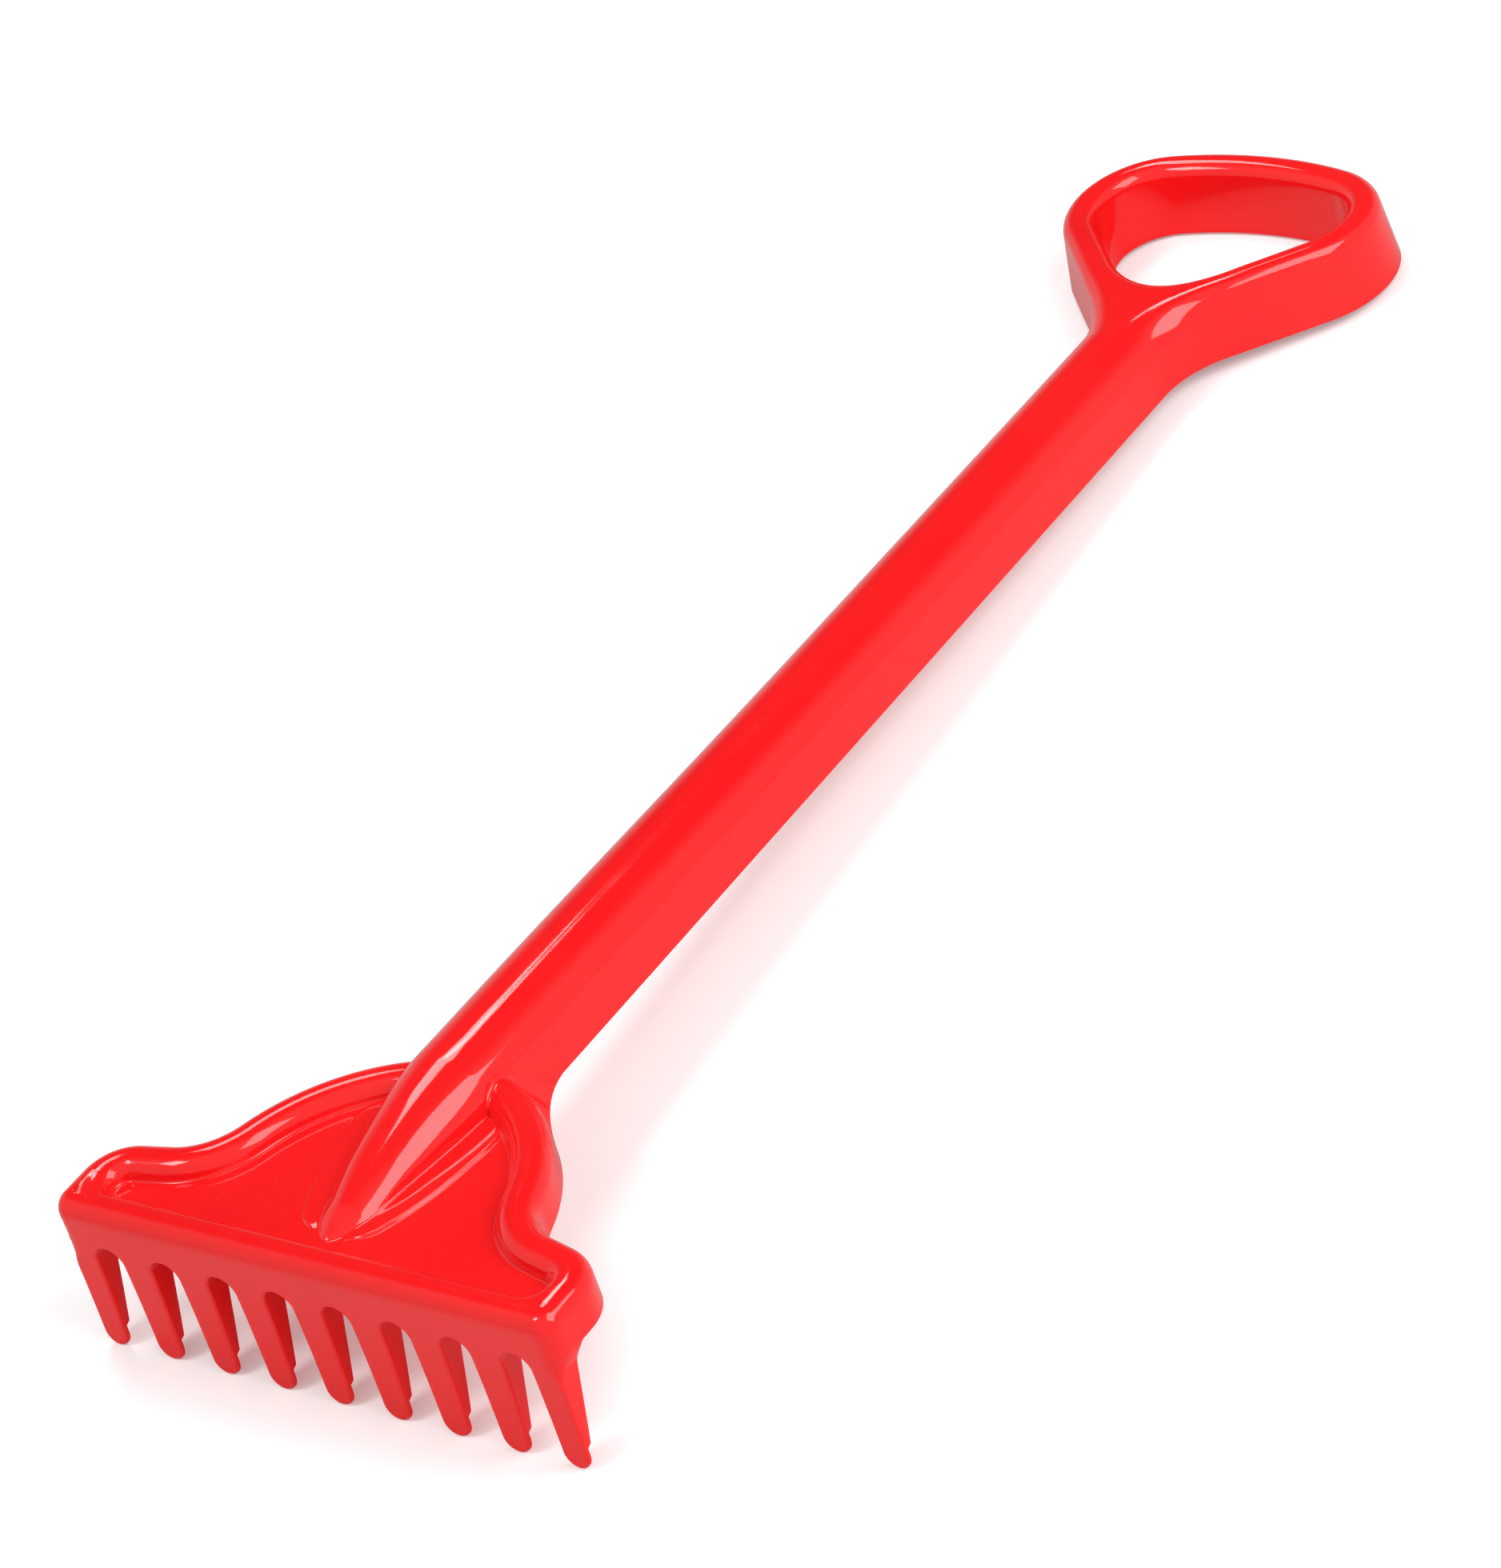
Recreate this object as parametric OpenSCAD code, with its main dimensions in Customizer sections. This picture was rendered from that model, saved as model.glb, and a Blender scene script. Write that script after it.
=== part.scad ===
// Toy sand rake with a closed hand grip, one thin-walled plastic moulding.
// Drawn first as a level tool, x from the tines to the grip, y to the left,
// z up from the plane of the moulding's open underside. The module resting
// then lays it on its tine tips and on the far lower edge of the grip.

/* [Moulding] */
// thickness of every wall
wall = 1.6; // [1.2:0.1:3]
// lean of the shaft's and grip's skirts, which open out towards the bottom, degrees
draft = 6.5; // [2:0.5:9]

/* [Head] */
// height of the flat plate above the open underside
deck_h = 7.4; // [5:0.1:14]
// radius of the half-round rim bead
rim_r = 5.2; // [3.5:0.1:8]
// width of the straight bead along the front
front_bead_w = 11.4; // [10.6:0.1:18]
// clearance between the flat plate and the beads round it
plate_clear = 0.02; // [0.01:0.01:0.2]
// how far back the straight side of each ear runs
ear_run = 13.3; // [12:0.1:20]
// radius of the ear, on the middle of the bead
ear_r = 8.7; // [7:0.1:14]
// turn of the ear, degrees
ear_turn = 78; // [60:1:88]
// straight length behind the ear
dip_run = 8; // [1:0.5:12]
// radius of the hollow between the ear and the shoulder
dip_r = 21; // [12:0.5:34]
// turn of the hollow, degrees
dip_turn = 60; // [40:1:75]
// radius of the shoulder
shoulder_r = 49.7; // [35:0.1:90]
// how far outside the shaft's crease the middle of the rim ends
rim_end_out = 2.3; // [0:0.1:6]

/* [Tines] */
// number of tines in the row
tine_count = 9; // [5:1:13]
// distance from one tine to the next
tine_pitch = 18; // [12:0.5:26]
// depth of the tine tips below the open underside
tine_drop = 32.4; // [20:0.2:50]
// width of a slot at its top
slot_w = 8.6; // [6:0.1:12]
// height of the slots' round tops above the open underside
slot_top_h = -0.1; // [-4:0.1:4]
// width of a tine near its tip
tip_w = 8.2; // [5:0.1:12]
// depth of a tine from front to back at its root
tine_root_d = 7.2; // [5:0.1:14]
// depth of a tine from front to back at its step
tine_step_d = 2.6; // [2:0.1:10]
// height of the bare tip below the step
tip_run = 6.6; // [3:0.1:10]
// thickness of the bare tip
tip_t = 1.3; // [1:0.1:3]
// how far the outer side of an end tine is from its middle
end_tine_half = 3.6; // [3:0.1:8]
// how far each end wall of the head stands outside the end tine
end_ledge = 1.6; // [0.5:0.1:4]
// how far the tips stand forward of the top of the front wall
tip_lean = 0.9; // [0:0.1:3]

/* [Nose] */
// where the nose meets the plate, from the front
nose_start = 13; // [12:0.5:30]
// how far short of the rim's end the nose has become the shaft
nose_short = 1.4; // [-10:0.1:8]
// width of the low pad on each side of the nose
pad_w = 5.5; // [2:0.1:10]
// height of the pad above the plate
pad_rise = 0.6; // [0.3:0.1:2]
// where the pads start, from the front
pad_start = 18; // [12:0.5:30]

/* [Shaft] */
// half the width where the arch meets the side walls
shaft_half = 12.7; // [8:0.1:18]
// height of that crease above the open underside
crease_h = 10.7; // [6:0.1:16]
// height of the shaft's top
shaft_h = 19.4; // [14:0.1:28]
// length of the neck in which the shaft opens out to the grip
neck_long = 34; // [20:0.5:60]

/* [Grip] */
// height of the grip's top
grip_h = 21.2; // [16:0.1:30]
// radius of the grip's half-round top
grip_r = 4.7; // [3.5:0.1:8]
// far end of the grip, on the outside of its bead
grip_end = 469.6; // [400:0.5:560]
// radius of the far bar, on the middle of the bead
far_r = 109; // [80:1:200]
// half turn of the far bar, degrees
far_turn = 14.5; // [8:0.5:20]
// radius of the grip's corners, on the middle of the bead
corner_r = 21.4; // [14:0.2:30]
// turn of a corner, degrees
corner_turn = 119; // [100:1:130]
// radius of the hand hole at the neck
hole_r = 27; // [10:0.5:40]

/* [Hidden] */
// number of straight steps in a round
$fn = 96;
round_steps = 24;
flare_share = tan(draft);
slot_count = tine_count - 1;
last_y = slot_count * tine_pitch / 2;
end_y = last_y + end_tine_half;
head_half = end_y + end_ledge;
rim_axis_y = head_half - rim_r;
arch_rise = shaft_h - crease_h;
arch_r = (shaft_half * shaft_half + arch_rise * arch_rise) / (2 * arch_rise);
shaft_foot = shaft_half + crease_h * flare_share;
grip_wall_h = grip_h - grip_r;
grip_flare = grip_wall_h * flare_share;
spring_h = slot_top_h - slot_w / 2;
root_w = tine_pitch - slot_w;
liner_r = slot_w / 2 + wall;

// middle line of the rim, as the centres and ends of its arcs
ear_c = [ear_run, rim_axis_y - ear_r];
ear_a = 90 - ear_turn;
ear_e = ear_c + ear_r * [cos(ear_a), sin(ear_a)];
dip_s = ear_e + dip_run * [cos(ear_turn), -sin(ear_turn)];
dip_c = dip_s + dip_r * [cos(ear_a), sin(ear_a)];
dip_b = 180 + ear_a + dip_turn;
dip_e = dip_c + dip_r * [cos(dip_b), sin(dip_b)];
shoulder_b = dip_b - 180;
shoulder_c = dip_e - shoulder_r * [cos(shoulder_b), sin(shoulder_b)];
shoulder_a = asin((shaft_half + rim_end_out - shoulder_c[1]) / shoulder_r);
nose_end = shoulder_c[0] + shoulder_r * cos(shoulder_a) - nose_short;

// middle line of the grip, as the centres and ends of its arcs
far_c = [grip_end - grip_r - far_r, 0];
corner_c = far_c + (far_r - corner_r) * [cos(far_turn), sin(far_turn)];
corner_b = far_turn + corner_turn;
corner_e = corner_c + corner_r * [cos(corner_b), sin(corner_b)];
// hand hole: centre of its near end, and the plane where the neck has parted
hole_x = corner_e[0] - (sin(corner_b) * corner_e[1] - hole_r - grip_r) / -cos(corner_b);
fork_x = hole_x + hole_r * cos(corner_b);
side_run = (corner_e[0] - fork_x) / sin(corner_b);
fork_y = corner_e[1] + side_run * cos(corner_b);
fork_half = grip_r / sin(corner_b);
neck_start = fork_x - neck_long;

// laying the tool on its tine tips and on the end of its grip
tip_back = tip_t - tip_lean;
step_z = -tine_drop + tip_run;
end_x = grip_end + grip_flare;
rest_tilt = atan2(tine_drop, end_x - tip_back);
low_x = -tip_lean * cos(rest_tilt) - tine_drop * sin(rest_tilt);
high_x = end_x * cos(rest_tilt);
rest_z = end_x * sin(rest_tilt);

// nose stations: share of its length, share of the shaft's half width at the
// foot and at the crease, share of the rise from the plate to the shaft's top
nose_cuts = [[0, 0.14, 0.10, 0.04], [0.035, 0.26, 0.22, 0.10], [0.085, 0.45, 0.42, 0.17],
    [0.14, 0.61, 0.58, 0.23], [0.245, 0.71, 0.69, 0.31], [0.335, 0.78, 0.76, 0.43],
    [0.54, 0.90, 0.88, 0.65], [0.755, 0.98, 0.96, 0.88], [0.89, 1.02, 0.99, 0.975],
    [1, 1.03, 1, 1]];
// neck stations: share of its length, share of the way out to the bars,
// share of the rise to the grip's top, share of squareness
neck_cuts = [[0, 0, 0, 0], [0.25, 0.04, 0.12, 0.15], [0.45, 0.20, 0.30, 0.4],
    [0.65, 0.43, 0.55, 0.65], [0.82, 0.70, 0.75, 0.85], [1, 1, 0.9, 1]];

grip_far_bar();
grip_corner_left();
grip_corner_right();
grip_side_left();
grip_side_right();
grip_neck();
shaft();
nose();
head_plate();
rim_ear_left();
rim_ear_right();
rim_flank_left();
rim_flank_right();
rim_waist_left();
rim_waist_right();
rim_shoulder_left();
rim_shoulder_right();
front_bead();
front_wall();
end_wall_left();
end_wall_right();
tine_1();
tine_2();
tine_3();
tine_4();
tine_5();
tine_6();
tine_7();
tine_8();
tine_9();

// lays the level tool down as it rests, over the middle of its own box
module resting() {
    translate([-(low_x + high_x) / 2, 0, rest_z]) rotate([0, rest_tilt, 0]) children();
}

module red() {
    color([0.86, 0.05, 0.06]) resting() children();
}

// half-round top of radius r at height h, hollow
module round_top(r, h) {
    difference() {
        translate([0, h]) circle(r = r);
        translate([0, h]) circle(r = r - wall);
        translate([-2 * r, h - 2 * r]) square([4 * r, 2 * r]);
    }
}

// skirt below a half-round top, on the side given, with its upper edge set into the round
module skirt(r, h, flare, side) {
    polygon([[side * (r - wall), h], [side * (r - wall / 2), h + wall / 2], [side * r, h],
        [side * (r + flare), 0], [side * (r + flare - wall), 0]]);
}

// inner foot of the rim's half-round, beside the plate
module rim_lip() {
    polygon([[-rim_r, deck_h - wall], [-rim_r, deck_h], [wall / 2 - rim_r, deck_h + wall / 2],
        [wall - rim_r, deck_h], [wall - rim_r, deck_h - wall]]);
}

// sweeps sections round c; their u points away from c, or towards it where side is -1
module arc_of(c, r, from, to, side) {
    translate([c[0], c[1], 0]) rotate([0, 0, from]) for (k = [0:$children - 1]) {
        rotate_extrude(angle = to - from) translate([r, 0]) scale_u(side) children(k);
    }
}

// sweeps sections straight on from p in the heading given; their u points to its left
module run_of(p, heading, long) {
    translate([p[0], p[1], 0]) rotate([0, 0, heading]) rotate([90, 0, 90])
        for (k = [0:$children - 1]) {
            linear_extrude(height = long) children(k);
        }
}

// turns a section over where side is -1
module scale_u(side) {
    mirror([side < 0 ? 1 : 0, 0]) children();
}

// the rim's section round c: a half-round, a skirt outside and a lip inside
module rim_arc(c, r, from, to, side) {
    arc_of(c, r, from, to, side) {
        round_top(rim_r, deck_h);
        skirt(rim_r, deck_h, 0, 1);
        rim_lip();
    }
}

// the grip's section round c: a half-round top on two leaning skirts
module grip_arc(c, r, from, to) {
    arc_of(c, r, from, to, 1) {
        round_top(grip_r, grip_wall_h);
        skirt(grip_r, grip_wall_h, grip_flare, -1);
        skirt(grip_r, grip_wall_h, grip_flare, 1);
    }
}

module grip_far_bar() {
    red() grip_arc(far_c, far_r, -far_turn, far_turn);
}

module grip_corner() {
    grip_arc(corner_c, corner_r, far_turn, corner_b);
}

module grip_corner_left() {
    red() grip_corner();
}

module grip_corner_right() {
    red() mirror([0, 1, 0]) grip_corner();
}

module grip_side() {
    intersection() {
        run_of(corner_e, corner_b + 90, 2 * side_run) {
            round_top(grip_r, grip_wall_h);
            skirt(grip_r, grip_wall_h, grip_flare, -1);
            skirt(grip_r, grip_wall_h, grip_flare, 1);
        }
        translate([fork_x, 0, 0]) cube([4 * side_run, grip_end, grip_h]);
    }
}

module grip_side_left() {
    red() grip_side();
}

module grip_side_right() {
    red() mirror([0, 1, 0]) grip_side();
}

// a closed skin through rings of points that all have the same count
module loft(rings) {
    n = len(rings[0]);
    last = len(rings) - 1;
    points = [for (ring = rings) each ring];
    skin = [for (k = [0:last - 1]) for (i = [0:n - 1]) let (j = (i + 1) % n)
        each [[k * n + i, k * n + n + j, k * n + n + i], [k * n + i, k * n + j, k * n + n + j]]];
    polyhedron(points = points, faces = concat(skin,
        [[for (i = [0:n - 1]) n - 1 - i], [for (i = [0:n - 1]) last * n + i]]));
}

// ring across the tool at x: a foot, a crease and an arch above it
function arch_ring(x, foot, foot_h, half, side_h, top, square_share) =
    let (steps = 24, power = 1 - 0.5 * square_share)
    concat([[x, -foot, foot_h]],
        [for (i = [0:steps]) let (a = 180 - 180 * i / steps, c = cos(a), s = sin(a))
            [x, half * sign(c) * pow(abs(c), power), side_h + (top - side_h) * pow(abs(s), power)]],
        [[x, foot, foot_h]]);

module grip_neck() {
    red() difference() {
        neck_form(0);
        difference() {
            neck_form(wall);
            hand_hole(wall);
        }
        hand_hole(0);
    }
}

// outer form of the neck, or with less the hollow inside it
module neck_form(less) {
    long = fork_x - neck_start + 2 * less;
    bar_y = fork_y + fork_half;
    rings = [for (c = neck_cuts) let (
        half = shaft_half + (bar_y - shaft_half) * c[1] - less,
        top = shaft_h + (grip_h - shaft_h) * c[2] - less,
        side_h = crease_h + (grip_wall_h - crease_h) * c[1],
        foot = half + (side_h + less) * flare_share)
        arch_ring(neck_start - less + long * c[0], foot, -less, half, side_h, top, c[3])];
    loft(rings);
}

// the near end of the hand hole, wider by more
module hand_hole(more) {
    translate([hole_x, 0, 0]) {
        cylinder(r1 = hole_r - grip_flare + more, r2 = hole_r + more, h = grip_wall_h);
        translate([0, 0, grip_wall_h]) cylinder(r = hole_r + more, h = 2 * grip_r);
        translate([0, 0, -wall]) cylinder(r = hole_r - grip_flare + more, h = wall);
    }
}

// outline of the shaft's section, standing on the open underside, less a wall
module shaft_outline(less) {
    foot = shaft_foot - less / cos(draft);
    slope = 2 * shaft_h * flare_share;
    intersection() {
        polygon([[-foot, 0], [foot, 0], [foot - slope, 2 * shaft_h], [-foot + slope, 2 * shaft_h]]);
        union() {
            translate([0, shaft_h - arch_r]) circle(r = arch_r - less);
            translate([-2 * foot, 0]) square([4 * foot, crease_h - less]);
        }
    }
}

module shaft() {
    red() translate([nose_end, 0, 0]) rotate([90, 0, 90])
        linear_extrude(height = neck_start - nose_end) difference() {
            shaft_outline(0);
            shaft_outline(wall);
        }
}

// outer form of the nose, or with less the hollow inside it
module nose_form(less) {
    long = nose_end - nose_start;
    rings = [for (c = nose_cuts) let (
        foot = max(shaft_half * c[1] - less, less / 4),
        half = max(shaft_half * c[2] - less, less / 8),
        side_h = deck_h - less / 2 + (crease_h - deck_h) * min(1, 1.2 * c[0]),
        top = max(deck_h + (shaft_h - deck_h) * c[3] - less, side_h + less / 8))
        arch_ring(nose_start + long * c[0] + less, foot, deck_h - wall - less, half, side_h, top, 0)];
    loft(rings);
}

module nose() {
    red() difference() {
        nose_form(0);
        nose_form(wall);
    }
}

// foot of the nose, as seen from above, wider by more
module nose_foot(more) {
    long = nose_end - nose_start;
    edge = [for (c = nose_cuts) [nose_start + long * c[0], shaft_half * c[1] + more]];
    last = len(edge) - 1;
    polygon(concat(edge, [for (i = [0:last]) [edge[last - i][0], -edge[last - i][1]]]));
}

// points round c from one direction to another
function arc_points(c, r, from, to) = [for (i = [0:round_steps])
    c + r * [cos(from + (to - from) * i / round_steps), sin(from + (to - from) * i / round_steps)]];

// the flat plate, as seen from above
module plate_outline() {
    inset = rim_r + plate_clear;
    front = front_bead_w + plate_clear;
    edge = concat([[front, rim_axis_y - inset], [ear_run, rim_axis_y - inset]],
        arc_points(ear_c, ear_r - inset, 90, ear_a),
        arc_points(dip_c, dip_r + inset, 180 + ear_a, dip_b),
        arc_points(shoulder_c, shoulder_r - inset, shoulder_b, shoulder_a));
    last = len(edge) - 1;
    polygon(concat(edge, [for (i = [0:last]) [edge[last - i][0], -edge[last - i][1]]]));
}

module head_plate() {
    red() {
        translate([0, 0, deck_h - wall]) linear_extrude(height = wall) difference() {
            plate_outline();
            nose_foot(0);
        }
        translate([0, 0, deck_h - wall]) linear_extrude(height = wall + pad_rise) difference() {
            intersection() {
                plate_outline();
                nose_foot(pad_w);
                translate([pad_start, -head_half]) square([nose_end, 2 * head_half]);
            }
            nose_foot(0);
        }
    }
}

module rim_ear() {
    rim_arc(ear_c, ear_r, ear_a, 90, 1);
}

module rim_flank() {
    run_of(ear_e, -ear_turn, dip_run) {
        round_top(rim_r, deck_h);
        skirt(rim_r, deck_h, 0, 1);
        rim_lip();
    }
}

module rim_waist() {
    rim_arc(dip_c, dip_r, 180 + ear_a, dip_b, -1);
}

module rim_shoulder() {
    difference() {
        rim_arc(shoulder_c, shoulder_r, shoulder_a, shoulder_b, 1);
        translate([nose_start, 0, 0]) rotate([90, 0, 90]) linear_extrude(height = 2 * nose_end)
            shaft_outline(0);
    }
}

module rim_ear_left() {
    red() rim_ear();
}

module rim_ear_right() {
    red() mirror([0, 1, 0]) rim_ear();
}

module rim_flank_left() {
    red() rim_flank();
}

module rim_flank_right() {
    red() mirror([0, 1, 0]) rim_flank();
}

module rim_waist_left() {
    red() rim_waist();
}

module rim_waist_right() {
    red() mirror([0, 1, 0]) rim_waist();
}

module rim_shoulder_left() {
    red() rim_shoulder();
}

module rim_shoulder_right() {
    red() mirror([0, 1, 0]) rim_shoulder();
}

// seen from the front, y to the right and z up, extruded back from the face
module from_front(from, deep) {
    translate([from, 0, 0]) rotate([90, 0, 90]) linear_extrude(height = deep) children();
}

// seen from the side, x to the right and z up, extruded to the left from y
module from_side(y, wide) {
    translate([0, y + wide, 0]) rotate([90, 0, 0]) linear_extrude(height = wide) children();
}

// upper half of the bead's round seen from its end, less a wall
module bead_half(less) {
    intersection() {
        circle(r = rim_r - less);
        translate([-rim_r, 0]) square([2 * rim_r, rim_r]);
    }
}

// outer form of the bead along the front and back to the ears, or its hollow
module bead_form(less) {
    long = 2 * rim_axis_y;
    from_side(-rim_axis_y, long) translate([rim_r, deck_h]) bead_half(less);
    from_side(-rim_axis_y, long) translate([front_bead_w - rim_r, deck_h]) bead_half(less);
    translate([rim_r, -rim_axis_y, deck_h]) cube([front_bead_w - 2 * rim_r, long, rim_r - less]);
    for (side = [-1, 1]) {
        from_front(rim_r, ear_run - rim_r) translate([side * rim_axis_y, deck_h]) bead_half(less);
        translate([rim_r, side * rim_axis_y, deck_h]) intersection() {
            sphere(r = rim_r - less);
            translate([-rim_r, -rim_r, 0]) cube([2 * rim_r, 2 * rim_r, rim_r]);
        }
    }
}

module front_bead() {
    lip_y = rim_axis_y - rim_r;
    red() {
        difference() {
            bead_form(0);
            bead_form(wall);
        }
        translate([front_bead_w - wall, -lip_y - wall, deck_h - wall])
            cube([wall, 2 * (lip_y + wall), wall]);
        for (side = [-1, 1]) {
            translate([front_bead_w - wall, side * (lip_y + wall / 2) - wall / 2, deck_h - wall])
                cube([ear_run - front_bead_w + wall, wall, wall]);
        }
    }
}

module front_wall() {
    red() difference() {
        union() {
            translate([0, -rim_axis_y, spring_h]) cube([wall, 2 * rim_axis_y, deck_h - spring_h]);
            translate([0, -end_y, spring_h]) cube([wall, 2 * end_y, -spring_h]);
            for (k = [1:slot_count]) {
                from_front(0, tine_root_d) translate([slot_y(k), spring_h]) difference() {
                    circle(r = liner_r);
                    translate([-2 * liner_r, -2 * liner_r]) square([4 * liner_r, 2 * liner_r]);
                }
            }
        }
        for (k = [1:slot_count]) {
            from_front(-wall, 2 * tine_root_d) translate([slot_y(k), spring_h])
                circle(r = slot_w / 2);
        }
    }
}

// round corner below the bead, the wall behind it back to the ear, and the narrower
// wall below them beside the end tine's root, on the left
module end_wall() {
    translate([rim_r, rim_axis_y, 0]) intersection() {
        difference() {
            cylinder(r = rim_r, h = deck_h);
            cylinder(r = rim_r - wall, h = deck_h);
        }
        translate([-rim_r, 0, 0]) cube([rim_r, rim_r, deck_h]);
    }
    translate([rim_r, head_half - wall, 0]) cube([ear_run - rim_r, wall, deck_h]);
    translate([wall, end_y - wall, spring_h]) cube([tine_root_d - wall, wall, wall - spring_h]);
}

module end_wall_left() {
    red() end_wall();
}

module end_wall_right() {
    red() mirror([0, 1, 0]) end_wall();
}

function slot_y(k) = last_y - (k - 0.5) * tine_pitch;

// front of a tine: its half widths at the root, to the left and right, less a wall, cut
// through from the face back
module tine_front(left, right, less) {
    tip_z = -tine_drop + tip_w / 2;
    tip_y = (left - right) / 4;
    tip_r = tip_w / 2 - less;
    from_front(-tip_lean, 2 * tine_root_d) polygon([[-right + less, spring_h],
        [left - less, spring_h], [tip_y + tip_r, tip_z], [tip_y - tip_r, tip_z]]);
    from_front(-tip_lean, 2 * tine_root_d) translate([tip_y, tip_z]) circle(r = tip_r);
}

// side outline of a tine, or of the hollow behind its face
module tine_side() {
    polygon([[0, spring_h], [tine_root_d, spring_h], [tine_step_d - tip_lean, step_z],
        [tip_t - tip_lean, step_z], [tip_t - tip_lean, -tine_drop], [-tip_lean, -tine_drop]]);
}

module tine_hollow() {
    polygon([[wall, spring_h], [2 * tine_root_d, spring_h], [2 * tine_root_d, -tine_drop],
        [tip_t - tip_lean, -tine_drop], [tip_t - tip_lean, step_z]]);
}

module tine(k) {
    y = last_y - (k - 1) * tine_pitch;
    left = k == 1 ? end_tine_half : root_w / 2;
    right = k == tine_count ? end_tine_half : root_w / 2;
    red() translate([0, y, 0]) difference() {
        intersection() {
            tine_front(left, right, 0);
            from_side(-tine_pitch / 2, tine_pitch) tine_side();
        }
        intersection() {
            tine_front(left, right, wall);
            from_side(-tine_pitch / 2, tine_pitch) tine_hollow();
        }
    }
}

module tine_1() {
    tine(1);
}

module tine_2() {
    tine(2);
}

module tine_3() {
    tine(3);
}

module tine_4() {
    tine(4);
}

module tine_5() {
    tine(5);
}

module tine_6() {
    tine(6);
}

module tine_7() {
    tine(7);
}

module tine_8() {
    tine(8);
}

module tine_9() {
    tine(9);
}
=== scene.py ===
# %% [markdown]
# # A child's sand rake in glossy plastic
# The rake is one injection moulding: a toothed head with a raised rim, a long
# hollow shaft and a closed hand grip. The engineering model is loaded first and
# stays where it is. Every surface below is worked out around it, in the same
# frame and in real sizes, so that nothing has to be fitted by eye.

import bmesh
import bpy
import numpy as np
from mathutils import Matrix, Vector


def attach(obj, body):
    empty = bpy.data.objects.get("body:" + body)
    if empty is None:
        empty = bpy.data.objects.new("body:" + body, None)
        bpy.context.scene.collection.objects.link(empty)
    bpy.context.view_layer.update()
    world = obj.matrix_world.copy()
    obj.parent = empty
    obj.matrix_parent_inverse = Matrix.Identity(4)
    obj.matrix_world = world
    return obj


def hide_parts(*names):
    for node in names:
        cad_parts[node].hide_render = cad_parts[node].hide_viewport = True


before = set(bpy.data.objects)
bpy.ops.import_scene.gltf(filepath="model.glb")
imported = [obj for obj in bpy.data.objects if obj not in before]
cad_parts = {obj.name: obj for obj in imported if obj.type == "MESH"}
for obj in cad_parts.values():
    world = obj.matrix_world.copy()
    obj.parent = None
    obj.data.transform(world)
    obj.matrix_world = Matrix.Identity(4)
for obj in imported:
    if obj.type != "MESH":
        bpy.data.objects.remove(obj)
bpy.context.view_layer.update()


# %% [markdown]
# ## The tool's own directions
# It is far easier to shape the rake while it lies level: x runs from the tines
# to the grip, y to its left and z up from the open underside, in millimetres.
# In use it rests on its tine tips and on the far edge of the grip. The finished
# objects could be turned into that rest. But an object that stays unturned at
# the origin is simpler to export, so each grid of points is turned, lifted and
# brought to metres before it becomes a mesh.

# %% Level tool to resting rake
MM = 0.001  # one millimetre in metres
WALL = 1.6  # thickness of the moulding
DRAFT = 6.5  # degrees that the outer walls lean out, so that the mould lets go
TINE_DROP = 32.4  # from the level of the open underside down to the tips
TIP_LEAN = 0.9  # how far the tips stand forward of the face
TIP_T = 1.3  # thickness of a tip
GRIP_END = 469.6  # from the face to the far side of the grip
GRIP_SIDE_H = 16.5  # height at which the grip's sides start to lean out
LEAN = np.tan(np.radians(DRAFT))
END_X = GRIP_END + GRIP_SIDE_H * LEAN
TILT = np.arctan2(TINE_DROP, END_X - TIP_T + TIP_LEAN)
LOW_X = -TIP_LEAN * np.cos(TILT) - TINE_DROP * np.sin(TILT)
MIDDLE_X = (LOW_X + END_X * np.cos(TILT)) / 2
LIFT = END_X * np.sin(TILT)


def lay_down(p):
    """Turns level points by TILT about y, lifts and centres them, and makes metres."""
    x, y, z = np.moveaxis(np.asarray(p, float), -1, 0)
    c, s = np.cos(TILT), np.sin(TILT)
    return MM * np.stack([x * c + z * s - MIDDLE_X, y, z * c - x * s + LIFT], -1)


print("tilt at rest, degrees:", round(float(np.degrees(TILT)), 3))

# %% [markdown]
# ## From grids to one mesh
# Each surface is a grid of points, rows by columns. Four neighbours make a
# face. A piece often needs a few grids that share their edges, such as a top
# and its skirts. They could stay separate objects, but then light would break
# at every edge. So the grids go into one mesh and the points that fall together
# are merged. That closes the seams, and smooth shading runs on from one grid to
# the next.

# %% Mesh helper
MERGE_DIST = 3e-6  # points closer than this, in metres, become one
SLIVER = 1e-6  # edges shorter than this, in metres, are taken out
SHARP = 40.0  # degrees between two faces from which their edge is drawn sharp


def grid_faces(rows, columns, start, turned):
    """Corner numbers of the four-sided faces between neighbouring points of a grid."""
    n = start + np.arange(rows * columns).reshape(rows, columns)
    quads = np.stack([n[:-1, :-1], n[1:, :-1], n[1:, 1:], n[:-1, 1:]], -1).reshape(-1, 4)
    return quads[:, ::-1] if turned else quads


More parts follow.
